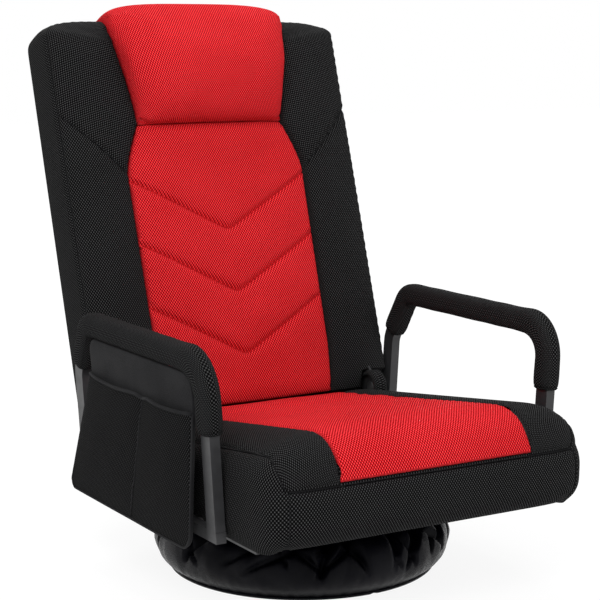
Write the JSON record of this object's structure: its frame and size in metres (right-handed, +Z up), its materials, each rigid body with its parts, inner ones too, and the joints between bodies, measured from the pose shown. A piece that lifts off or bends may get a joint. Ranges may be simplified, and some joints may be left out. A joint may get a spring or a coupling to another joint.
{
  "type": "floor gaming chair",
  "caption": "Low swivel floor chair with a folding padded back, headrest, loop armrests, a side pocket and a skirted round base",
  "frame": {"origin": "centre of the outer box on the floor", "axes": "+Z up; the sitter faces -Y; +X is the sitter's left"},
  "size_m": [0.6094, 0.796, 0.8459],
  "materials": {
    "frame_black": "semi-gloss powder coat",
    "zinc_steel": "zinc plated",
    "ball_steel": "polished",
    "pad_rubber": "matte",
    "cage_plastic": "matte",
    "mesh_black": "spacer mesh",
    "mesh_red": "spacer mesh",
    "cloth_black": "smooth padded cloth",
    "skirt_nylon": "shiny nylon",
    "webbing": "woven straps"
  },
  "bodies": {
    "base": {"base_frame": "frame_black", "floor_pads": "pad_rubber", "lower_swivel_plate": "zinc_steel", "swivel_balls": "ball_steel", "ball_cage": "cage_plastic", "swivel_rivet": "zinc_steel", "rivet_washer": "zinc_steel", "base_bolts": "zinc_steel", "base_skirt": "skirt_nylon", "skirt_band": "skirt_nylon"},
    "seat": {"upper_swivel_plate": "zinc_steel", "swivel_bolts": "zinc_steel", "seat_frame": "frame_black", "seat_webbing": "webbing", "dust_cover": "cloth_black", "seat_cushion": "mesh_black", "seat_panel": "mesh_red", "hinge_seat_plate_left": "frame_black", "hinge_seat_plate_right": "frame_black", "hinge_rivets": "zinc_steel", "hinge_seat_bolts": "zinc_steel", "arm_frame_left": "frame_black", "arm_frame_right": "frame_black", "arm_sleeve_left": "mesh_black", "arm_sleeve_right": "mesh_black", "arm_spacers": "zinc_steel", "arm_bolts": "zinc_steel", "pocket_backing": "cloth_black", "pocket_pouch": "mesh_black", "heel_gusset": "mesh_black"},
    "back": {"hinge_back_plate_left": "frame_black", "hinge_back_plate_right": "frame_black", "hinge_back_bolts": "zinc_steel", "back_frame": "frame_black", "back_webbing": "webbing", "back_cushion": "mesh_black", "back_panel": "mesh_red", "headrest_pillow": "mesh_red", "back_rear_cover": "cloth_black"}
  },
  "joints": [
    {"name": "swivel", "type": "hinge", "parent": "base", "child": "seat", "pos_m": [0, -0.024, 0.12], "axis": [0, 0, 1], "continuous": true},
    {"name": "recline", "type": "hinge", "parent": "seat", "child": "back", "pos_m": [0, 0.122, 0.221], "axis": [1, 0, 0], "range_deg": [-72.5, 90], "deforming": ["heel_gusset"]}
  ]
}
